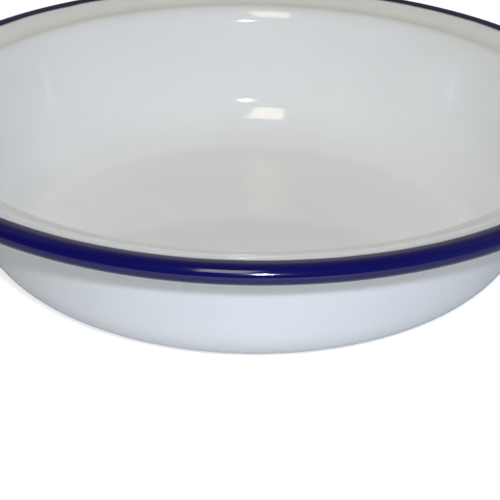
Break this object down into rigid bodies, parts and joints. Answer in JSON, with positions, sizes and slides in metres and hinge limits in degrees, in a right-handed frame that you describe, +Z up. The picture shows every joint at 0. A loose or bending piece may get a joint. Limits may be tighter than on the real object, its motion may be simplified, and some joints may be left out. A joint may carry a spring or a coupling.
{
  "type": "round pie dish",
  "caption": "Round pie dish of enamelled sheet steel: flat floor, steep round wall, narrow flange and a rolled rim.",
  "frame": {"origin": "centre of the underside of the floor, on the surface that the dish stands on", "axes": "+Z up along the axis of the dish; X and Y lie level and are alike, because the dish is round"},
  "size_m": [0.22, 0.22, 0.0468],
  "materials": {
    "enamel": "gloss vitreous enamel, white, with dark blue on the rolled rim"
  },
  "bodies": {
    "root": {"pie_dish": "enamel"}
  },
  "joints": []
}
